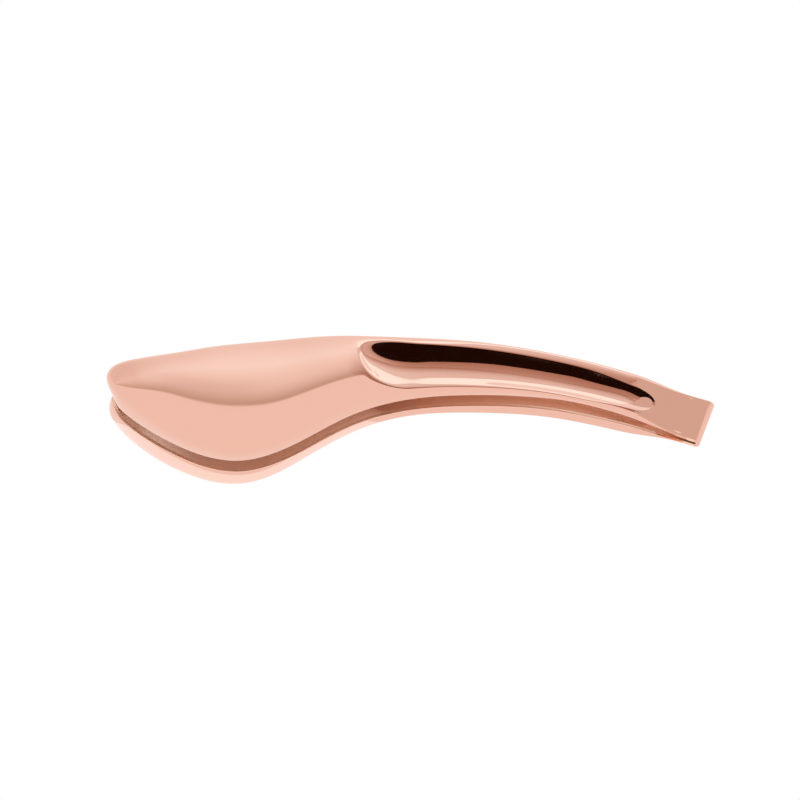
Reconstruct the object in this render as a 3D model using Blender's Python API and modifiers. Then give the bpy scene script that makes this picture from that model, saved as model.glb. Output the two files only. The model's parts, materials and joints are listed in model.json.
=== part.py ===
"""Spring tongs with leaf-shaped jaws: two mirrored pressed-steel arms joined by a folded spring heel.

Sizes are written in millimetres and turned into metres by MM. X runs from the jaw tips to the heel, Y runs across the
arms towards their straighter back edge, and Z is the direction in which the jaws open. The tongs lie on the lower arm,
and the origin is under the middle of the whole part.
"""

import math

import bmesh
import bpy
import numpy as np

MM = 0.001

# Sheet and folded heel
SHEET = 1.0  # thickness of the pressed sheet
FOLD_GAP = 1.0  # space between the two arms where the heel is folded
SEAM = 0.3  # gap between an arm and the fold
TONGUE_LENGTH = 1.5  # flat spring tongue beside the fold
WALL_RISE = 20.5  # length over which the walls rise from the flat tongue
JAW_GAP = 5.2  # space between the two rims, from the tips to the middle of the handle
GAP_RISE = 38.5  # length over which the rims spread from the fold gap to the jaw gap

# One arm: lengths along X, widths across it, heights of the outer face over its rim
HANDLE_LENGTH = 94.2
JAW_LENGTH = 62.2
HEEL_WIDTH = 13.0
GRIP_WIDTH = 15.8
NECK_WIDTH = 23.9
JAW_WIDTH = 35.1
HEEL_HEIGHT = 2.65
GRIP_HEIGHT = 3.95
NECK_HEIGHT = 5.95
JAW_HEIGHT = 8.85
TIP_HEIGHT = 10.55

# Sideways places of the arm's middle line, towards the back edge
HEEL_SWAY = -7.6
GRIP_SWAY = 7.4
NECK_SWAY = 5.1
JAW_SWAY = -4.5
TIP_SWAY = 3.5

# Rounded tip of the jaw
TIP_DOME = 30.0  # length over which the top comes down to the rim
TIP_ARC = 0.5  # bulge of the tip's end past the last section
TIP_ARC_POWER = 40  # a high power keeps the bulge to the last sections
TIP_ROLL = 1.5  # how far the rim is drawn back under the tip
TIP_ROLL_REACH = 8.0  # length of the tip over which that grows

# Thumb groove: a round scoop with drawn-in ends, which flares from its heel end to the grip
GROOVE_DEPTH = 1.9
GROOVE_HEEL_DEPTH = 0.6
GROOVE_LIP = 1.55  # from a rim to the edge of the groove
GROOVE_SHIFT = -1.35  # sideways place of the groove, towards the back edge
GROOVE_HEEL_HALF = 3.4  # half of the width at the heel end
GROOVE_FLARE = 25.0  # length over which the heel end widens
GROOVE_HEEL_SPACE = 12.7  # from the heel to the groove
GROOVE_NECK_SPACE = 5.4  # from the groove to the neck
GROOVE_HEEL_END = 7.0  # lengths over which the ends are drawn in
GROOVE_NECK_END = 16.0
GROOVE_HEEL_LEAN = 0.8  # further sideways places of the two ends
GROOVE_NECK_LEAN = 4.0
GROOVE_SOFTNESS = 0.2  # rounding of the edge, as a share of the depth

# A section is a rounded box: low powers are rounder
BOX_REACH = 33.5  # length from the heel that keeps the full box section
GRIP_POWER = 7.0
JAW_POWER = 2.4
GRIP_UP_POWER = 8.0
JAW_UP_POWER = 5.0
GRIP_LEAN = 0.25  # how far the handle's walls roll in at the rim, as a share of their height
JAW_LEAN = 0.1  # the same for the belly of the jaw
JAW_LEAN_REACH = 56.0  # length before the tip at which that starts
JAW_LEAN_RISE = 20.0  # length over which it grows
JAW_LEAN_END = 26.0  # length before the tip over which it ends
SECTION_REACH = 18.0  # a section is square to the run of the arm over this distance to each side

# Facets
BODY_ROWS = 46
DOME_ROWS = 15
POINTS_ACROSS = 16
FOLD_STEPS = 12

SHARP_ANGLE = math.radians(40)
ROSE_GOLD = (0.86, 0.50, 0.40, 1.0)
POLISH = 0.08


def stations():
    """Places along one arm from heel to tip: x from the neck, sideways place, width and height."""
    heel = np.array((HEEL_SWAY, HEEL_WIDTH, HEEL_HEIGHT))
    grip = np.array((GRIP_SWAY, GRIP_WIDTH, GRIP_HEIGHT))
    neck = np.array((NECK_SWAY, NECK_WIDTH, NECK_HEIGHT))
    belly = np.array((JAW_SWAY, JAW_WIDTH, JAW_HEIGHT))
    tip = np.array((TIP_SWAY, 0.0, TIP_HEIGHT))

    def between(start, end, shares):
        return start + (end - start) * np.array(shares)

    # The first number is the share of the handle's length, and then of the jaw's
    handle = (
        (0.00, heel),
        (0.156, between(heel, grip, (0.345, 0.02, 0.28))),
        (0.38, between(heel, grip, (0.766, 0.06, 0.535))),
        (0.644, grip),
        (0.858, between(grip, neck, (0.06, 0.43, 0.34))),
        (1.00, neck),
    )
    jaw = (
        (0.23, between(neck, belly, (0.52, 0.60, 0.40))),
        (0.45, belly),
        (0.68, between(belly, tip, (0.19, 0.23, 0.68))),
        (0.88, between(belly, tip, (0.63, 0.59, 1.10))),
        (1.00, tip),
    )
    rows = [(HANDLE_LENGTH * (1 - share), *size) for share, size in handle]
    rows += [(-JAW_LENGTH * share, *size) for share, size in jaw]
    return np.array(rows), len(handle) - 1


def natural_spline(at, values):
    """Smooth curve through the values, as a function of the distance."""
    step = np.diff(at)
    count = len(at)
    matrix = np.zeros((count, count))
    target = np.zeros(values.shape)
    matrix[0, 0] = matrix[-1, -1] = 1.0
    for i in range(1, count - 1):
        matrix[i, i - 1 : i + 2] = step[i - 1], 2 * (step[i - 1] + step[i]), step[i]
        rise = (values[i + 1] - values[i]) / step[i]
        target[i] = 6 * (rise - (values[i] - values[i - 1]) / step[i - 1])
    bend = np.linalg.solve(matrix, target)

    def curve(distance):
        i = min(max(int(np.searchsorted(at, distance)) - 1, 0), count - 2)
        h = step[i]
        before = at[i + 1] - distance
        after = distance - at[i]
        bow = (bend[i] * before**3 + bend[i + 1] * after**3) / (6 * h)
        line = (values[i] / h - bend[i] * h / 6) * before + (values[i + 1] / h - bend[i + 1] * h / 6) * after
        return bow + line

    return curve


def smooth_ramp(value):
    """Rises from 0 to 1 with level ends."""
    t = min(max(value, 0.0), 1.0)
    return t * t * t * (10 - 15 * t + 6 * t * t)


def rounded_box(value, power, up_power):
    """Height of a section whose middle is at 0 and whose edges are at -1 and 1."""
    return max(0.0, 1.0 - abs(value) ** power) ** (1.0 / up_power)


class Arm:
    """The outer face of the upper arm, measured from the plane halfway between the arms."""

    def __init__(self):
        table, neck = stations()
        hops = np.linalg.norm(np.diff(table[:, :2], axis=0), axis=1)
        at = np.concatenate([[0.0], np.cumsum(hops)])
        self.length = at[-1]
        self.neck = at[neck]
        self.middle = natural_spline(at, table[:, :2])
        self.half_width_squared = natural_spline(at, (table[:, 2] / 2) ** 2)
        self.height = natural_spline(at, table[:, 3])

    def directions(self, distance):
        """Unit vectors along the run of the arm towards the tip, and across it towards the back edge."""
        start = max(distance - SECTION_REACH, 0.0)
        end = min(distance + SECTION_REACH, self.length)
        ahead = self.middle(end) - self.middle(start)
        ahead = ahead / np.linalg.norm(ahead)
        return ahead, np.array([ahead[1], -ahead[0]])

    def edge_height(self, distance):
        """Height of the edge of the outer face: it grows from the folded sheet to the jaw gap."""
        fold = FOLD_GAP / 2 + SHEET
        return fold + (JAW_GAP / 2 - fold) * smooth_ramp((distance - TONGUE_LENGTH) / GAP_RISE)

    def dome(self, distance):
        """Height of the middle of the outer face over its edge: nothing on the flat tongue and again at the tip."""
        rise = self.height(distance) * smooth_ramp((distance - TONGUE_LENGTH) / WALL_RISE)
        past = (distance - (self.length - TIP_DOME)) / (TIP_DOME - TIP_ARC)
        return rise * rounded_box(max(past, 0.0), JAW_POWER, JAW_UP_POWER)

    def section(self, distance, share):
        """Height of a section, from 0 at the rims to 1 in the middle, and how far its walls roll in."""
        jaw = smooth_ramp(distance / self.neck)
        round_share = smooth_ramp((distance - BOX_REACH) / (self.neck - BOX_REACH))
        power = GRIP_POWER + (JAW_POWER - GRIP_POWER) * round_share
        up_power = GRIP_UP_POWER + (JAW_UP_POWER - GRIP_UP_POWER) * round_share
        left = self.length - distance
        belly = smooth_ramp((JAW_LEAN_REACH - left) / JAW_LEAN_RISE) * smooth_ramp(left / JAW_LEAN_END)
        lean = GRIP_LEAN * (1 - jaw) + JAW_LEAN * belly
        height = rounded_box(share, power, up_power)
        return height, lean * (1 - height) ** 2

    def groove(self, distance, across, half_width):
        """Depth of the thumb groove at a distance across from the middle of the arm."""
        past_heel = distance - GROOVE_HEEL_SPACE
        before_neck = self.neck - GROOVE_NECK_SPACE - distance
        if past_heel <= 0 or before_neck <= 0:
            return 0.0
        heel_end = 1 - min(past_heel / GROOVE_HEEL_END, 1.0)
        neck_end = 1 - min(before_neck / GROOVE_NECK_END, 1.0)
        drawn_in = math.sqrt((1 - heel_end**3) * (1 - neck_end**3))
        flare = smooth_ramp(past_heel / GROOVE_FLARE)
        room = GROOVE_HEEL_HALF + (half_width - GROOVE_LIP - GROOVE_HEEL_HALF) * flare
        deep = GROOVE_HEEL_DEPTH + (GROOVE_DEPTH - GROOVE_HEEL_DEPTH) * flare
        middle = GROOVE_SHIFT + GROOVE_HEEL_LEAN * heel_end**2 + GROOVE_NECK_LEAN * neck_end**2
        share = (across - middle) / (room * drawn_in)
        scoop = 1 - share * share
        return deep * drawn_in * (scoop + math.hypot(scoop, GROOVE_SOFTNESS)) / 2

    def point(self, distance, share):
        """Point of the outer face; share runs from -1 at the front rim to 1 at the back rim."""
        ahead, across = self.directions(distance)
        half_width = math.sqrt(max(self.half_width_squared(distance), 0.0))
        dome = self.dome(distance)
        height, lean = self.section(distance, share)
        last = distance / (self.length - TIP_ARC)
        bulge = TIP_ARC * last**TIP_ARC_POWER * (1 - share * share)
        low = 1 - dome * height / self.height(distance)
        roll = TIP_ROLL * low**2 * smooth_ramp((distance - self.length) / TIP_ROLL_REACH + 1)
        x, y = self.middle(distance) + across * share * (half_width - lean * dome) + ahead * (bulge - roll)
        z = self.edge_height(distance) + dome * height
        return x, y, z - self.groove(distance, share * half_width, half_width)

    def grid(self):
        """Rows of points from heel to tip, closer together at the tip and at both rims."""
        dome_start = self.length - TIP_DOME
        rows = list(np.linspace(SEAM, dome_start, BODY_ROWS))
        for k in range(1, DOME_ROWS + 1):
            turn = math.pi / 2 * k / DOME_ROWS
            rows.append(dome_start + (TIP_DOME - TIP_ARC) * math.sin(turn) ** (2 / JAW_POWER))
        shares = []
        for k in range(POINTS_ACROSS + 1):
            side = -math.cos(math.pi * k / POINTS_ACROSS)
            shares.append(math.copysign(abs(side) ** (2 / JAW_POWER), side))
        return np.array([[self.point(row, share) for share in shares] for row in rows])


class Place:
    """Where the part stands: its own box is centred over the origin, with its lowest point on the ground."""

    def __init__(self, arm):
        points = arm.grid().reshape(-1, 3)
        ahead, fold_line = arm.directions(0.0)
        heel = arm.middle(0.0)
        reach = FOLD_GAP / 2 + SHEET
        corners = [heel - ahead * reach + fold_line * side * HEEL_WIDTH / 2 for side in (-1, 1)]
        low = np.min([points.min(axis=0)[:2], *corners], axis=0)
        high = np.max([points.max(axis=0)[:2], *corners], axis=0)
        self.shift = np.array([*(-(low + high) / 2), points[:, 2].max()])
        self.hinge = np.array([*heel, 0.0]) + self.shift
        self.outward = -ahead


def clear_scene():
    for item in list(bpy.data.objects):
        bpy.data.objects.remove(item, do_unlink=True)


def polished_metal(name):
    material = bpy.data.materials.new(name)
    material.use_nodes = True
    shader = material.node_tree.nodes["Principled BSDF"]
    shader.inputs["Base Color"].default_value = ROSE_GOLD
    shader.inputs["Metallic"].default_value = 1.0
    shader.inputs["Roughness"].default_value = POLISH
    return material


def add_piece(name, mesh, place, collection):
    """One piece of sheet metal, with its origin on the hinge line; mesh is the outer face of the sheet."""
    item = bpy.data.objects.new(name, mesh)
    item.location = place.hinge * MM
    mesh.materials.append(polished_metal(name + "_rose_gold"))
    mesh.shade_smooth()
    mesh.set_sharp_from_angle(angle=SHARP_ANGLE)
    collection.objects.link(item)
    return item


def add_sheet(item):
    """Gives an open surface the thickness of the sheet, inwards from its outer face."""
    solid = item.modifiers.new("sheet", "SOLIDIFY")
    solid.thickness = SHEET * MM
    solid.offset = -1.0


def make_arm(name, side, arm, place, collection):
    """One pressed arm: side is 1 for the upper arm and -1 for its mirror image below."""
    points = (arm.grid() * (1, 1, side) + place.shift - place.hinge) * MM
    rows, across = points.shape[:2]
    work = bmesh.new()
    verts = [[work.verts.new(point) for point in row] for row in points]
    for i in range(rows - 1):
        for j in range(across - 1):
            corners = [verts[i][j], verts[i][j + 1], verts[i + 1][j + 1], verts[i + 1][j]]
            work.faces.new(corners if side > 0 else corners[::-1])
    mesh = bpy.data.meshes.new(name)
    work.to_mesh(mesh)
    work.free()
    item = add_piece(name, mesh, place, collection)
    add_sheet(item)


def make_fold(name, place, collection):
    """The folded heel: a straight edge turned half round the hinge line, with the thickness of the sheet."""
    outer = (FOLD_GAP / 2 + SHEET) * MM
    half_width = HEEL_WIDTH / 2 * MM
    mesh = bpy.data.meshes.new(name)
    mesh.from_pydata([(0, outer, -half_width), (0, outer, half_width)], [(0, 1)], [])
    item = add_piece(name, mesh, place, collection)
    # Local Z lies along the fold, local Y points up and local X out of the heel
    item.rotation_euler = (math.pi / 2, 0, math.atan2(place.outward[1], place.outward[0]))
    turn = item.modifiers.new("fold", "SCREW")
    turn.angle = -math.pi
    turn.steps = FOLD_STEPS
    turn.render_steps = FOLD_STEPS
    turn.use_merge_vertices = False
    add_sheet(item)


def build():
    clear_scene()
    collection = bpy.data.collections.new("spring_tongs")
    bpy.context.scene.collection.children.link(collection)
    arm = Arm()
    place = Place(arm)
    make_arm("upper_arm", 1, arm, place, collection)
    make_arm("lower_arm", -1, arm, place, collection)
    make_fold("heel_fold", place, collection)


build()
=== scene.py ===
"""Studio picture of rose-gold spring tongs: polished arm shells and a folded heel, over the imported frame.

Sizes are in millimetres and become metres through MM. X runs from the jaw tips to the heel, Y towards the
back edge, and Z is the way the jaws open.
"""

import json
import math

import bmesh
import bpy
import numpy as np
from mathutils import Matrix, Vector


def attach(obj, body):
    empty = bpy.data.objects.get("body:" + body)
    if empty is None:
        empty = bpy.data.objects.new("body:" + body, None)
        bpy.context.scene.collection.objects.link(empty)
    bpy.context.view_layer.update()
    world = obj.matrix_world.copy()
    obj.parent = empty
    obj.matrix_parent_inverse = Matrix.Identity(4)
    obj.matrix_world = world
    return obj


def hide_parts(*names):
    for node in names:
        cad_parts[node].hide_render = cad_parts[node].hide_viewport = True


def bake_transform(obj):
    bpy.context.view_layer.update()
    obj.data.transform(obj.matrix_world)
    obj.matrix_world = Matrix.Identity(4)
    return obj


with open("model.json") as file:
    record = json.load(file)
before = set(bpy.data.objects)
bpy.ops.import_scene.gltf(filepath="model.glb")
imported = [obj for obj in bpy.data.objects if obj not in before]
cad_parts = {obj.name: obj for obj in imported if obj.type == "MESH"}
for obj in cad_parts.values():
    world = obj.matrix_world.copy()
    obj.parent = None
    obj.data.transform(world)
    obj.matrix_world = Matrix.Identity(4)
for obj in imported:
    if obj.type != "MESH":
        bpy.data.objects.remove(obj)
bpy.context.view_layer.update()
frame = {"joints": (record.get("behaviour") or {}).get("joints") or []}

MM = 0.001

# Sheet and folded heel
SHEET = 1.0
FOLD_GAP = 1.0
TONGUE_LENGTH = 1.5
WALL_RISE = 20.5  # length over which the walls grow out of the flat tongue
JAW_GAP = 5.2  # between the rims, before their edges are rounded
GAP_RISE = 38.5  # length over which the gap of the fold grows to that
EDGE_ROUND = 0.1  # rounding of the deburred edges of the sheet

# One arm: lengths along X, widths across it, heights of the outer face over its rim
HANDLE_LENGTH = 94.2
JAW_LENGTH = 62.2
HEEL_WIDTH = 13.0
GRIP_WIDTH = 15.8
NECK_WIDTH = 23.9
JAW_WIDTH = 35.1
HEEL_HEIGHT = 2.65
GRIP_HEIGHT = 3.95
NECK_HEIGHT = 5.95
JAW_HEIGHT = 8.85
TIP_HEIGHT = 10.55

# Sideways places of the arm's middle line, towards the back edge
HEEL_SWAY = -7.6
GRIP_SWAY = 7.4
NECK_SWAY = 5.1
JAW_SWAY = -4.5
TIP_SWAY = 3.5

# Rounded tip of the jaw
TIP_DOME = 30.0  # length before the tip over which the dome falls to the rim
TIP_ARC = 0.5  # how far the middle of the last row bows out past its ends
TIP_ARC_POWER = 40  # higher keeps that bow closer to the last row
TIP_ROLL = 1.5  # how far the rim is drawn in under the tip
TIP_ROLL_REACH = 8.0  # length before the tip at which that starts

# Thumb groove: a round scoop with drawn-in ends, which flares from the heel end to the grip
GROOVE_DEPTH = 1.9  # along the grip
GROOVE_HEEL_DEPTH = 0.6  # at its heel end
GROOVE_LIP = 1.55  # mean width of the face that is left on each side of it
GROOVE_SHIFT = -1.35  # of its middle; minus is towards the front
GROOVE_HEEL_HALF = 3.4  # half of its width at the heel end
GROOVE_FLARE = 25.0  # length over which it flares and deepens
GROOVE_HEEL_SPACE = 12.7  # length before it, from the heel
GROOVE_NECK_SPACE = 5.4  # length behind it, up to the neck
GROOVE_HEEL_END = 7.0  # length of its drawn-in heel end
GROOVE_NECK_END = 16.0  # length of its drawn-in neck end
GROOVE_HEEL_LEAN = 0.8  # how far its heel end leans towards the back
GROOVE_NECK_LEAN = 4.0  # how far its neck end does
GROOVE_SOFTNESS = 0.03  # rounding of its lips; 0 is sharp
GROOVE_NECK_SOFTNESS = 0.6  # the same at its neck end

# A section is a rounded box: low powers are rounder
BOX_REACH = 33.5  # length from the heel that keeps the full box section
GRIP_POWER = 7.0  # across the arm, along the grip
JAW_POWER = 2.4  # across the arm, at the jaw
GRIP_UP_POWER = 8.0  # upwards, along the grip
JAW_UP_POWER = 5.0  # upwards, at the jaw
GRIP_LEAN = 0.25  # how far the walls roll in at the rim, as a share of the height
JAW_LEAN = 0.1  # the same for the belly of the jaw
JAW_LEAN_REACH = 56.0  # length before the tip at which that starts
JAW_LEAN_RISE = 20.0  # length over which it grows
JAW_LEAN_END = 26.0  # length before the tip over which it ends
SECTION_REACH = 18.0  # length each way over which the run of the arm is measured

# How finely the polished faces are divided
BODY_ROWS = 240
DOME_ROWS = 60
POINTS_ACROSS = 80
EDGE_STEPS = 4
FOLD_STEPS = 40
SHARP_ANGLE = math.radians(60)
MERGE_DISTANCE = 0.0001  # points closer than this become one

# Coated steel: the coat's thickness, and with it the tint, drifts over patches of this size
TINT_PATCH = 40.0

# Boards of the studio, which show in reflections only; offsets go from the arm's middle line towards the back
BOARD_ROWS = 40  # rows of points along each board
BOARD_HEIGHT = 34.0  # of the film and the heel card over the middle plane of the tongs
# The flag's rows: distance from the heel, lean in degrees, lower and upper edge over the groove's front lip
FLAG = (
    (7.5, 60, 14.0, 28.0),
    (20.5, 64, 10.8, 22.5),
    (34.5, 67, 8.0, 14.3),
    (54.5, 64, 11.3, 21.0),
    (71.5, 57, 13.0, 24.0),
    (78.5, 48, 12.0, 19.0),
    (85.5, 38, 12.0, 20.0),
)
FLAG_SHARE = -0.94  # place of that lip across the arm
# The film's rows: distance from the heel, offsets of its front edge, its bright part and its back edge
FILM = (
    (7.5, 3.5, 46, 140),
    (20.5, 0, 53, 140),
    (36.5, -7, 60, 110),
    (48.5, -5, 56, 80),
    (59.5, 0, 50, 75),
    (67.5, 4.5, 42, 66),
    (74.5, 7, 35, 60),
    (90.5, 14, 35, 60),
)
# Its density by the distance from the heel, and its density and the colour of its light by the share of its
# graded part
FILM_ALONG = ((7.5, 1.0), (79.5, 1.0), (90.5, 0.0))
FILM_DENSITY = ((0.0, 0.9), (0.3, 0.7), (0.36, 0.5), (0.7, 0.3), (0.86, 0.25), (1.0, 1.0))
FILM_COLOUR = ((0.0, (0.20, 0.07, 0.02)), (0.86, (0.30, 0.14, 0.08)), (1.0, (0.75, 0.95, 1.00)))
FILM_LIGHT = 1.6
# The heel card's rows: distance from the heel, offsets of its front and back edge
HEEL_CARD = ((-22, -2, 45), (7.5, -2, 45))
HEEL_CARD_LIGHT = 0.7
# The bounce board and the rim card run from this distance to the tip, with margins round the arm's outline
BOUNCE_START = 86.5
BOUNCE_MARGIN = 13.0
RIM_CARD_MARGIN = -1.0  # minus: the card reaches in under the rim
BOUNCE_LIFT = 0.05  # of the bounce board over the floor
BOUNCE_LIGHT = 1.3

# White sweep under the tongs, and the tints of brighter and darker light
FLOOR_SIZE = 8000.0
SWEEP_LIGHT = 1.0
COOL_TINT = (0.4, 1.3)  # how far red and blue follow a brightness over 1
WARM_TINT = (0.82, 1.15)  # the same for a brightness under 1

# Tent: angle over the back horizon in degrees, brightness towards the left and towards the right
TENT = (
    (-2, 0.88, 1.10),
    (8, 0.88, 1.10),
    (23, 0.86, 1.10),
    (36, 0.88, 1.14),
    (48, 0.96, 1.24),
    (54, 0.84, 1.05),
    (62.2, 0.60, 0.52),
    (63.4, 1.0, 1.0),
    (180, 1.0, 1.0),
)
TENT_TILT = math.radians(27)  # how much higher a direction to the far right counts
TENT_SIDES = (-0.3, 0.1)  # sideways parts of a direction where the left ends and the right starts
TENT_LIGHT = 1.6

# Camera: the photo's view, from 55 degrees above the ground with a long lens
CAMERA_ELEVATION = math.radians(55)
CAMERA_DISTANCE = 1300.0
VIEW_WIDTH = 210.4  # width of what the picture shows at that distance
SENSOR = 36.0
AIM = (-2.84, 2.24)  # place on the plan that is in the middle of the picture


def stations():
    """Places along one arm from heel to tip: x from the neck, sideways place, width and height."""
    heel = np.array((HEEL_SWAY, HEEL_WIDTH, HEEL_HEIGHT))
    grip = np.array((GRIP_SWAY, GRIP_WIDTH, GRIP_HEIGHT))
    neck = np.array((NECK_SWAY, NECK_WIDTH, NECK_HEIGHT))
    belly = np.array((JAW_SWAY, JAW_WIDTH, JAW_HEIGHT))
    tip = np.array((TIP_SWAY, 0.0, TIP_HEIGHT))

    def between(start, end, shares):
        return start + (end - start) * np.array(shares)

    # The first number is the share of the handle's length, and then of the jaw's
    handle = (
        (0.00, heel),
        (0.156, between(heel, grip, (0.345, 0.02, 0.28))),
        (0.38, between(heel, grip, (0.766, 0.06, 0.535))),
        (0.644, grip),
        (0.858, between(grip, neck, (0.06, 0.43, 0.34))),
        (1.00, neck),
    )
    jaw = (
        (0.23, between(neck, belly, (0.52, 0.60, 0.40))),
        (0.45, belly),
        (0.68, between(belly, tip, (0.19, 0.23, 0.68))),
        (0.88, between(belly, tip, (0.63, 0.59, 1.10))),
        (1.00, tip),
    )
    rows = [(HANDLE_LENGTH * (1 - share), *size) for share, size in handle]
    rows += [(-JAW_LENGTH * share, *size) for share, size in jaw]
    return np.array(rows), len(handle) - 1


def natural_spline(at, values):
    """Smooth curve through the values, as a function of the distance."""
    step = np.diff(at)
    count = len(at)
    matrix = np.zeros((count, count))
    target = np.zeros(values.shape)
    matrix[0, 0] = matrix[-1, -1] = 1.0
    for i in range(1, count - 1):
        matrix[i, i - 1 : i + 2] = step[i - 1], 2 * (step[i - 1] + step[i]), step[i]
        rise = (values[i + 1] - values[i]) / step[i]
        target[i] = 6 * (rise - (values[i] - values[i - 1]) / step[i - 1])
    bend = np.linalg.solve(matrix, target)

    def curve(distance):
        i = min(max(int(np.searchsorted(at, distance)) - 1, 0), count - 2)
        h = step[i]
        before = at[i + 1] - distance
        after = distance - at[i]
        bow = (bend[i] * before**3 + bend[i + 1] * after**3) / (6 * h)
        line = (values[i] / h - bend[i] * h / 6) * before + (values[i + 1] / h - bend[i + 1] * h / 6) * after
        return bow + line

    return curve


def smooth_ramp(value):
    """Rises from 0 to 1 with level ends."""
    t = min(max(value, 0.0), 1.0)
    return t * t * t * (10 - 15 * t + 6 * t * t)


def rounded_box(value, power, up_power):
    """Height of a section whose middle is at 0 and whose edges are at -1 and 1."""
    return max(0.0, 1.0 - abs(value) ** power) ** (1.0 / up_power)


class Arm:
    """The outer face of the upper arm, measured from the plane halfway between the arms."""

    def __init__(self):
        table, neck = stations()
        hops = np.linalg.norm(np.diff(table[:, :2], axis=0), axis=1)
        at = np.concatenate([[0.0], np.cumsum(hops)])
        self.length = at[-1]
        self.neck = at[neck]
        self.middle = natural_spline(at, table[:, :2])
        self.half_width_squared = natural_spline(at, (table[:, 2] / 2) ** 2)
        self.height = natural_spline(at, table[:, 3])

    def half_width(self, distance):
        """Half of the arm's width; its square is what runs smoothly, so that the tip comes out round."""
        return math.sqrt(max(self.half_width_squared(distance), 0.0))

    def directions(self, distance):
        """Unit vectors along the run of the arm towards the tip, and across it towards the back edge."""
        start = max(distance - SECTION_REACH, 0.0)
        end = min(distance + SECTION_REACH, self.length)
        ahead = self.middle(end) - self.middle(start)
        ahead = ahead / np.linalg.norm(ahead)
        return ahead, np.array([ahead[1], -ahead[0]])

    def edge_height(self, distance):
        """Height of the edge of the outer face: it grows from the folded sheet to the jaw gap."""
        fold = FOLD_GAP / 2 + SHEET
        return fold + (JAW_GAP / 2 - fold) * smooth_ramp((distance - TONGUE_LENGTH) / GAP_RISE)

    def dome(self, distance):
        """Height of the middle of the outer face over its edge: nothing on the flat tongue and at the tip."""
        rise = self.height(distance) * smooth_ramp((distance - TONGUE_LENGTH) / WALL_RISE)
        past = (distance - (self.length - TIP_DOME)) / (TIP_DOME - TIP_ARC)
        return rise * rounded_box(max(past, 0.0), JAW_POWER, JAW_UP_POWER)

    def section(self, distance, share):
        """Height of a section, from 0 at the rims to 1 in the middle, and how far its walls roll in."""
        jaw = smooth_ramp(distance / self.neck)
        round_share = smooth_ramp((distance - BOX_REACH) / (self.neck - BOX_REACH))
        power = GRIP_POWER + (JAW_POWER - GRIP_POWER) * round_share
        up_power = GRIP_UP_POWER + (JAW_UP_POWER - GRIP_UP_POWER) * round_share
        left = self.length - distance
        belly = smooth_ramp((JAW_LEAN_REACH - left) / JAW_LEAN_RISE) * smooth_ramp(left / JAW_LEAN_END)
        lean = GRIP_LEAN * (1 - jaw) + JAW_LEAN * belly
        height = rounded_box(share, power, up_power)
        return height, lean * (1 - height) ** 2

    def groove(self, distance, across, half_width):
        """Depth of the thumb groove at a distance across from the middle of the arm."""
        past_heel = distance - GROOVE_HEEL_SPACE
        before_neck = self.neck - GROOVE_NECK_SPACE - distance
        if past_heel <= 0 or before_neck <= 0:
            return 0.0
        heel_end = 1 - min(past_heel / GROOVE_HEEL_END, 1.0)
        neck_end = 1 - min(before_neck / GROOVE_NECK_END, 1.0)
        drawn_in = math.sqrt((1 - heel_end**3) * (1 - neck_end**3))
        flare = smooth_ramp(past_heel / GROOVE_FLARE)
        room = GROOVE_HEEL_HALF + (half_width - GROOVE_LIP - GROOVE_HEEL_HALF) * flare
        deep = GROOVE_HEEL_DEPTH + (GROOVE_DEPTH - GROOVE_HEEL_DEPTH) * flare
        middle = GROOVE_SHIFT + GROOVE_HEEL_LEAN * heel_end**2 + GROOVE_NECK_LEAN * neck_end**2
        share = (across - middle) / (room * drawn_in)
        scoop = 1 - share * share
        softness = GROOVE_SOFTNESS + (GROOVE_NECK_SOFTNESS - GROOVE_SOFTNESS) * neck_end**2
        return deep * drawn_in * (scoop + math.hypot(scoop, softness)) / 2

    def point(self, distance, share):
        """Point of the outer face; share runs from -1 at the front rim to 1 at the back rim."""
        ahead, across = self.directions(distance)
        half_width = self.half_width(distance)
        dome = self.dome(distance)
        height, lean = self.section(distance, share)
        last = distance / (self.length - TIP_ARC)
        bulge = TIP_ARC * last**TIP_ARC_POWER * (1 - share * share)
        low = 1 - dome * height / self.height(distance)
        roll = TIP_ROLL * low**2 * smooth_ramp((distance - self.length) / TIP_ROLL_REACH + 1)
        x, y = self.middle(distance) + across * share * (half_width - lean * dome) + ahead * (bulge - roll)
        z = self.edge_height(distance) + dome * height
        return x, y, z - self.groove(distance, share * half_width, half_width)

    def outer_face(self):
        """Rows of points from the fold to the tip, closer together at the tip and at both rims."""
        dome_start = self.length - TIP_DOME
        rows = list(np.linspace(0.0, dome_start, BODY_ROWS))
        for k in range(1, DOME_ROWS + 1):
            turn = math.pi / 2 * k / DOME_ROWS
            rows.append(dome_start + (TIP_DOME - TIP_ARC) * math.sin(turn) ** (2 / JAW_POWER))
        shares = []
        for k in range(POINTS_ACROSS + 1):
            side = -math.cos(math.pi * k / POINTS_ACROSS)
            shares.append(math.copysign(abs(side) ** (2 / JAW_POWER), side))
        return np.array([[self.point(row, share) for share in shares] for row in rows])


ARM = Arm()
HINGE = Vector(frame["joints"][0]["pos_m"])
# From the arm's own measures to the frame: the hinge runs through the heel end of the middle line
TO_FRAME = np.array(HINGE) / MM - np.array([*ARM.middle(0.0), 0.0])


def unit(vectors):
    """The same directions with a length of one."""
    return vectors / np.linalg.norm(vectors, axis=-1, keepdims=True)


def face_normals(points):
    """Unit normals of a grid of points, pointing out of the upper side."""
    normals = unit(np.cross(np.gradient(points, axis=1), np.gradient(points, axis=0)))
    # At the two ends of the last row both directions run along the rim, so the next point gives the normal
    normals[-1, 0] = normals[-1, 1]
    normals[-1, -1] = normals[-1, -2]
    return normals


def border(grid):
    """Values round an arm's rim, from the heel along the front, round the tip and back along the rear."""
    return np.concatenate([grid[:, 0], grid[-1, 1:-1], grid[::-1, -1]])


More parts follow.
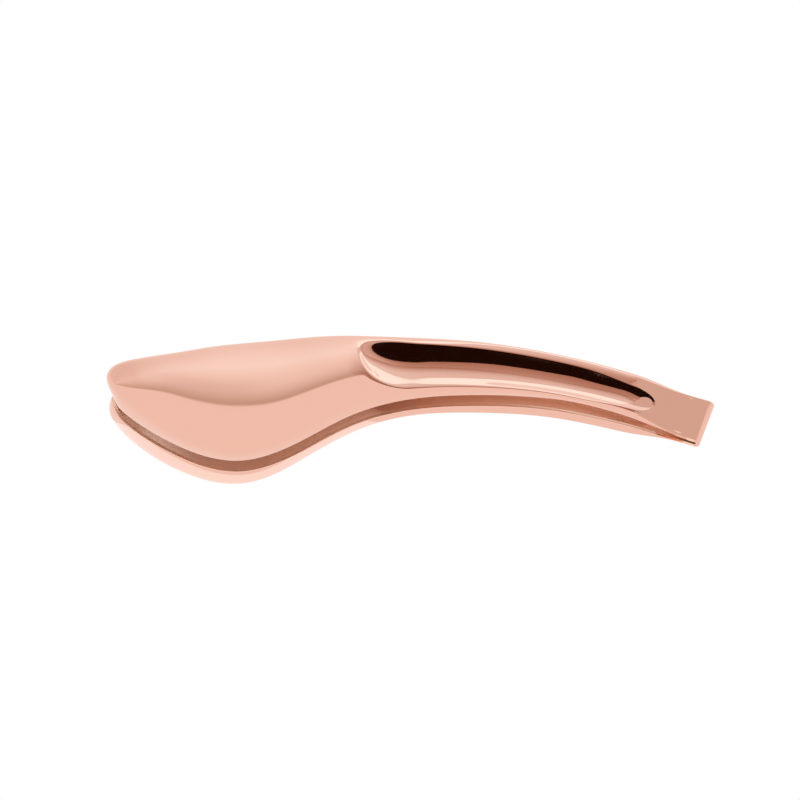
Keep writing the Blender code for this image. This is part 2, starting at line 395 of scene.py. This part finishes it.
def grid_faces(index, flip=False):
    """Quads of a grid of point numbers."""
    faces = []
    for a, b in zip(index[:-1], index[1:]):
        for j in range(len(a) - 1):
            quad = (int(a[j]), int(a[j + 1]), int(b[j + 1]), int(b[j]))
            faces.append(quad[::-1] if flip else quad)
    return faces


def edge_rings(outer, normals):
    """Rings of points over the edge of the sheet, from its outer to its inner face, with rounded corners."""
    rim = border(outer)
    through = -border(normals)
    outward = unit(np.cross(np.gradient(rim, axis=0), through))
    rings = []
    for k in range(1, 2 * EDGE_STEPS):
        turn = math.pi / 2 * k / EDGE_STEPS
        depth = EDGE_ROUND * (1 - math.cos(turn))
        if k > EDGE_STEPS:
            depth += SHEET - 2 * EDGE_ROUND
        rings.append(rim + through * depth + outward * EDGE_ROUND * math.sin(turn))
        if k == EDGE_STEPS:
            rings.append(rings[-1] + through * (SHEET - 2 * EDGE_ROUND))
    return rings


def new_object(name, points, faces):
    """An object of the scene, from points in millimetres."""
    mesh = bpy.data.meshes.new(name)
    mesh.from_pydata((points * MM).tolist(), [], faces)
    item = bpy.data.objects.new(name, mesh)
    bpy.context.scene.collection.objects.link(item)
    return item


def close_shell(mesh):
    """Merges points that lie in one place and turns all faces outwards."""
    work = bmesh.new()
    work.from_mesh(mesh)
    bmesh.ops.remove_doubles(work, verts=work.verts, dist=MERGE_DISTANCE * MM)
    bmesh.ops.recalc_face_normals(work, faces=work.faces)
    work.to_mesh(mesh)
    work.free()


def finish(item, finishes):
    """Gives a piece its materials, and smooth shading apart from its sharp edges."""
    for material in finishes:
        item.data.materials.append(material)
    item.data.shade_smooth()
    item.data.set_sharp_from_angle(angle=SHARP_ANGLE)


def arm_shell(name, side, finishes):
    """One arm as a closed shell of sheet; side is 1 for the upper arm and -1 for the lower one.

    Its faces are lofted from the same outline that the pressed part has, because no primitive has this shape.
    The inside and the edge of the sheet take the second finish.
    """
    outer = ARM.outer_face()
    normals = face_normals(outer)
    inner = outer - normals * SHEET
    rings = edge_rings(outer, normals)
    count = outer.shape[0] * outer.shape[1]
    top = np.arange(count).reshape(outer.shape[:2])
    under = top + count
    edge = 2 * count + np.arange(len(rings) * len(rings[0])).reshape(len(rings), -1)
    edge = np.concatenate([[border(top)], edge, [border(under)]])
    # The heel end is closed by a strip between the faces and by a cap on each end of the edge
    heel = grid_faces(np.array([under[0], top[0]]))
    caps = [[int(i) for i in edge[:, 0]], [int(i) for i in edge[:, -1]]]
    polished = grid_faces(top) + heel + caps
    satin = grid_faces(under, True) + grid_faces(edge)
    points = np.concatenate([outer.reshape(-1, 3), inner.reshape(-1, 3), *rings]) * (1, 1, side) + TO_FRAME
    shell = new_object(name, points, polished + satin)
    for face in shell.data.polygons[len(polished) :]:
        face.material_index = 1
    close_shell(shell.data)
    finish(shell, finishes)
    return shell


def heel_fold(name, finishes):
    """The bent heel: the end of the sheet, with rounded edges, spun half round the hinge line."""
    along = ARM.directions(0.0)[1]
    fold_line = Vector((*along, 0.0))
    bpy.ops.object.select_all(action="DESELECT")
    bpy.ops.mesh.primitive_plane_add(size=1.0)
    fold = bpy.context.object
    fold.name = name
    fold.scale = ((HEEL_WIDTH + 2 * EDGE_ROUND) * MM, SHEET * MM, 1.0)
    fold.rotation_euler = (math.pi / 2, 0.0, math.atan2(along[1], along[0]))
    fold.location = HINGE + Vector((0.0, 0.0, (FOLD_GAP + SHEET) / 2 * MM))
    bpy.ops.object.transform_apply(location=True, rotation=True, scale=True)
    bpy.ops.object.mode_set(mode="EDIT")
    bpy.ops.mesh.select_all(action="SELECT")
    bpy.ops.mesh.bevel(offset=EDGE_ROUND * MM, segments=EDGE_STEPS, affect="VERTICES")
    bpy.ops.mesh.select_all(action="SELECT")
    bpy.ops.mesh.spin(steps=FOLD_STEPS, angle=-math.pi, center=HINGE, axis=fold_line)
    bpy.ops.mesh.select_all(action="SELECT")
    bpy.ops.mesh.normals_make_consistent(inside=False)
    bpy.ops.object.mode_set(mode="OBJECT")
    finish(fold, finishes)
    # Faces that look at the hinge line are the inside of the fold
    for face in fold.data.polygons:
        if (face.center - HINGE).dot(face.normal) < -FOLD_GAP / 4 * MM:
            face.material_index = 1
    return fold


def linear(code):
    """A colour given as six hex digits of sRGB, as linear values."""
    values = [int(code[i : i + 2], 16) / 255 for i in (0, 2, 4)]
    return [v / 12.92 if v <= 0.04045 else ((v + 0.055) / 1.055) ** 2.4 for v in values] + [1.0]


def add_node(tree, kind, links=None, **settings):
    """Adds a node; links maps its inputs to output sockets or plain values."""
    node = tree.nodes.new(kind)
    for key, value in settings.items():
        setattr(node, key, value)
    for key, value in (links or {}).items():
        if isinstance(value, bpy.types.NodeSocket):
            tree.links.new(value, node.inputs[key])
        else:
            node.inputs[key].default_value = value
    return node


def new_material(name):
    """A material, its node tree and its shader."""
    material = bpy.data.materials.new(name)
    material.use_nodes = True
    return material, material.node_tree, material.node_tree.nodes["Principled BSDF"]


def rose_gold(name, colours, roughness, patch):
    """Stainless steel sheet with a rose-gold PVD coat; its roughness drifts between two values in patches."""
    material, tree, shader = new_material(name)
    shader.inputs["Metallic"].default_value = 1.0
    place = add_node(tree, "ShaderNodeTexCoord").outputs["Object"]
    links = {"Vector": place, "Scale": 1 / (TINT_PATCH * MM), "Detail": 1.0}
    drift = add_node(tree, "ShaderNodeTexNoise", links)
    coat = add_node(tree, "ShaderNodeMix", {"Factor": drift.outputs["Fac"]}, data_type="RGBA")
    coat.inputs["A"].default_value = linear(colours[0])
    coat.inputs["B"].default_value = linear(colours[1])
    tree.links.new(coat.outputs["Result"], shader.inputs["Base Color"])
    links = {"Vector": place, "Scale": 1 / (patch * MM), "Detail": 3.0}
    haze = add_node(tree, "ShaderNodeTexNoise", links)
    links = {"Value": haze.outputs["Fac"], "To Min": roughness[0], "To Max": roughness[1]}
    rough = add_node(tree, "ShaderNodeMapRange", links)
    tree.links.new(rough.outputs["Result"], shader.inputs["Roughness"])
    return material


def buffed_rose_gold():
    """Outer faces and the sides of the fold, mirror-buffed: they show the room, tinted pink copper.

    The buffing wheel leaves a faint haze in patches of about 4 mm.
    """
    colours = ("F1BDA9", "EFBBA9")
    return rose_gold("mirror_buffed_rose_gold_pvd_steel", colours, roughness=(0.03, 0.07), patch=4.0)


def pressed_rose_gold():
    """Inside and edges of the sheet, left as pressed: satin, an even pink that is warm brown in the shade."""
    colours = ("FBD2BB", "F9CFB8")
    return rose_gold("as_pressed_satin_rose_gold_pvd_steel", colours, roughness=(0.32, 0.42), patch=2.0)


def light_only(name):
    """A material, its tree and its shader, for a surface that reflects nothing and only gives light."""
    material, tree, shader = new_material(name)
    shader.inputs["Base Color"].default_value = linear("000000")
    shader.inputs["Specular IOR Level"].default_value = 0.0
    return material, tree, shader


def tint(level, strength):
    """Colour that gives a brightness at a strength of light: bright parts are cooler and dark ones warmer."""
    red, blue = COOL_TINT if level > 1 else WARM_TINT
    colour = (1 + red * (level - 1), level, max(1 + blue * (level - 1), 0.0))
    return [value / strength for value in colour]


def glowing(name, level):
    """A surface of its own even light, for the sweep and the boards round it."""
    material, tree, shader = light_only(name)
    shader.inputs["Emission Color"].default_value = (*tint(level, level), 1.0)
    shader.inputs["Emission Strength"].default_value = level
    return material


def black_felt():
    """Felt that swallows almost all light; it glows with a trace of warm brown, a painted dim light in the
    dark streak that it mirrors.
    """
    material, tree, shader = light_only("black_studio_felt")
    shader.inputs["Emission Color"].default_value = linear("1C0B04")
    shader.inputs["Emission Strength"].default_value = 1.0
    return material


def colour_ramp(tree, value, stops):
    """Colour that follows a value through stops of place and colour."""
    first, last = stops[0][0], stops[-1][0]
    links = {"Value": value, "From Min": first, "From Max": last}
    share = add_node(tree, "ShaderNodeMapRange", links)
    ramp = add_node(tree, "ShaderNodeValToRGB", {"Fac": share.outputs["Result"]})
    elements = ramp.color_ramp.elements
    while len(elements) < len(stops):
        elements.new(0.5)
    for element, (place, colour) in zip(elements, stops):
        element.position = (place - first) / (last - first)
        element.color = (*colour, 1.0)
    return ramp.outputs["Color"]


def grey(stops):
    """Stops of place and level as stops of place and colour."""
    return [(place, (level, level, level)) for place, level in stops]


def graded_film():
    """Glowing film: dim brown light at its front, thinning out towards a bright back part; its mirror image
    is the painted shade and painted highlight in the groove.
    """
    material, tree, shader = light_only("graded_glowing_film")
    shader.inputs["Emission Strength"].default_value = FILM_LIGHT
    place = add_node(tree, "ShaderNodeTexCoord").outputs["UV"]
    parts = add_node(tree, "ShaderNodeSeparateXYZ", {"Vector": place})
    along = colour_ramp(tree, parts.outputs["X"], grey(FILM_ALONG))
    across = colour_ramp(tree, parts.outputs["Y"], grey(FILM_DENSITY))
    dense = add_node(tree, "ShaderNodeMath", {0: along, 1: across}, operation="MULTIPLY")
    tree.links.new(dense.outputs[0], shader.inputs["Alpha"])
    tree.links.new(colour_ramp(tree, parts.outputs["Y"], FILM_COLOUR), shader.inputs["Emission Color"])
    return material


def dress():
    """Makes the three pieces; the arms ride their bodies, and the fold is fixed in place between them."""
    finishes = (buffed_rose_gold(), pressed_rose_gold())
    upper = arm_shell("upper_arm_shell", 1, finishes)
    lower = arm_shell("lower_arm_shell", -1, finishes)
    fold = heel_fold("heel_fold_strip", finishes)
    for piece, body, node in ((upper, "upper", "upper_arm"), (lower, "lower", "lower_arm")):
        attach(piece, body)
        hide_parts(node)
    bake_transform(fold)
    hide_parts("heel_fold")


def stage_board(name, rows, material):
    """A board given by rows of points in millimetres, which shows in reflections only."""
    rows = np.array(rows)
    number = np.arange(rows.shape[0] * rows.shape[1]).reshape(rows.shape[:2])
    board = new_object(name, rows.reshape(-1, 3), grid_faces(number))
    board.data.materials.append(material)
    board.visible_camera = False
    board.visible_diffuse = False
    board.visible_shadow = False
    return board


def board_rows(stops):
    """Rows between a board's stops, close enough to follow the sway of the arm."""
    stops = np.array(stops, dtype=float)
    runs = np.linspace(stops[0, 0], stops[-1, 0], BOARD_ROWS)
    return zip(runs, *(np.interp(runs, stops[:, 0], column) for column in stops[:, 1:].T))


def over_arm(run, offset):
    """Point of a board over the arm, by the distance from the heel and the offset towards the back."""
    beyond = ARM.directions(0.0)[0] * min(run, 0.0)
    x, y = ARM.middle(max(run, 0.0)) + beyond
    return np.array((x, y + offset, BOARD_HEIGHT)) + TO_FRAME


def beside_arm(run, side, margin, height):
    """Point beside the outline of the arm, at a height in the frame."""
    across = ARM.directions(run)[1]
    x, y = ARM.middle(run) + across * side * (ARM.half_width(run) + margin) + TO_FRAME[:2]
    return x, y, height


def add_bounce():
    """A bright board on the floor, cut a little larger than the jaws, that lights the lower jaw's walls."""
    rows = []
    for run in np.linspace(BOUNCE_START, ARM.length, BOARD_ROWS):
        rows.append([beside_arm(run, side, BOUNCE_MARGIN, BOUNCE_LIFT) for side in (-1, 1)])
    stage_board("bounce_board", rows, glowing("bright_bounce_board", BOUNCE_LIGHT))


def add_rim_card():
    """A card beside the front rim and level with the gap, that hides the bounce board from the upper jaw.

    It is as bright as the sweep.
    """
    rows = []
    margins = (RIM_CARD_MARGIN, BOUNCE_MARGIN)
    for run in np.linspace(BOUNCE_START, ARM.length, BOARD_ROWS):
        rows.append([beside_arm(run, -1, margin, TO_FRAME[2]) for margin in margins])
    stage_board("rim_card", rows, glowing("white_studio_card", SWEEP_LIGHT))


def add_flag():
    """A black flag that leans back from the front lip of the groove.

    Its mirror image is the dark streak in the groove. It stands edge-on to the lip, so the lip stays bright.
    """
    rows = []
    for run, lean, low, high in board_rows(FLAG):
        lip = np.array(ARM.point(run, FLAG_SHARE)) + TO_FRAME
        rise = np.array((0.0, 1 / math.tan(math.radians(lean)), 1.0))
        rows.append([lip + rise * low, lip + rise * high])
    stage_board("black_flag", rows, black_felt())


def add_film():
    """A glowing film over the handle, whose light paints the shade and the highlight in the groove's
    reflection.

    Its UV holds the distance from the heel and the share of the graded part, which is 0 at the front edge,
    1 at the start of the bright part and more behind that.
    """
    rows = []
    places = []
    for run, *offsets in board_rows(FILM):
        rows.append([over_arm(run, offset) for offset in offsets])
        places += [(run, share) for share in range(len(offsets))]
    film = stage_board("graded_film", rows, graded_film())
    layer = film.data.uv_layers.new(name="places")
    for loop in film.data.loops:
        layer.data[loop.index].uv = places[loop.vertex_index]


def add_heel_card():
    """A grey card over the heel, which gives the flat end of the strip its even, darker tone."""
    rows = [[over_arm(run, front), over_arm(run, back)] for run, front, back in board_rows(HEEL_CARD)]
    stage_board("heel_card", rows, glowing("grey_studio_card", HEEL_CARD_LIGHT))


def add_floor():
    """The lit white sweep that the tongs lie on."""
    bpy.ops.mesh.primitive_plane_add(size=FLOOR_SIZE * MM, location=(0, 0, 0))
    floor = bpy.context.object
    floor.name = "floor"
    floor.data.materials.append(glowing("lit_white_sweep", SWEEP_LIGHT))


def add_camera():
    """A camera in front of the tongs, which looks down at the middle plane between the arms."""
    data = bpy.data.cameras.new("camera")
    data.sensor_width = SENSOR
    data.lens = SENSOR * CAMERA_DISTANCE / VIEW_WIDTH
    camera = bpy.data.objects.new("camera", data)
    aim = Vector((AIM[0] * MM, AIM[1] * MM, HINGE.z))
    back = Vector((0, -math.cos(CAMERA_ELEVATION), math.sin(CAMERA_ELEVATION)))
    camera.location = aim + back * CAMERA_DISTANCE * MM
    camera.rotation_euler = (math.pi / 2 - CAMERA_ELEVATION, 0, 0)
    bpy.context.scene.collection.objects.link(camera)
    bpy.context.scene.camera = camera


def add_room():
    """Soft white tent whose brightness changes from the back horizon over the top to the front."""
    world = bpy.data.worlds.new("white_tent")
    bpy.context.scene.world = world
    world.use_nodes = True
    tree = world.node_tree
    way = add_node(tree, "ShaderNodeTexCoord").outputs["Generated"]
    parts = add_node(tree, "ShaderNodeSeparateXYZ", {"Vector": way})
    links = {0: parts.outputs["Z"], 1: parts.outputs["Y"]}
    turn = add_node(tree, "ShaderNodeMath", links, operation="ARCTAN2").outputs[0]
    links = {0: parts.outputs["X"], 1: TENT_TILT, 2: turn}
    tilted = add_node(tree, "ShaderNodeMath", links, operation="MULTIPLY_ADD").outputs[0]
    angles, *sides = zip(*TENT)
    ramps = []
    for levels in sides:
        stops = [(math.radians(angle), tint(level, TENT_LIGHT)) for angle, level in zip(angles, levels)]
        ramps.append(colour_ramp(tree, tilted, stops))
    links = {"Value": parts.outputs["X"], "From Min": TENT_SIDES[0], "From Max": TENT_SIDES[1]}
    share = add_node(tree, "ShaderNodeMapRange", links).outputs["Result"]
    light = add_node(tree, "ShaderNodeMix", {"Factor": share}, data_type="RGBA")
    for name, ramp in zip(("A", "B"), ramps):
        tree.links.new(ramp, light.inputs[name])
    tree.links.new(light.outputs["Result"], tree.nodes["Background"].inputs["Color"])
    tree.nodes["Background"].inputs["Strength"].default_value = TENT_LIGHT


dress()
add_floor()
add_bounce()
add_flag()
add_film()
add_heel_card()
add_rim_card()
add_camera()
add_room()
bpy.context.scene.view_settings.view_transform = "Standard"
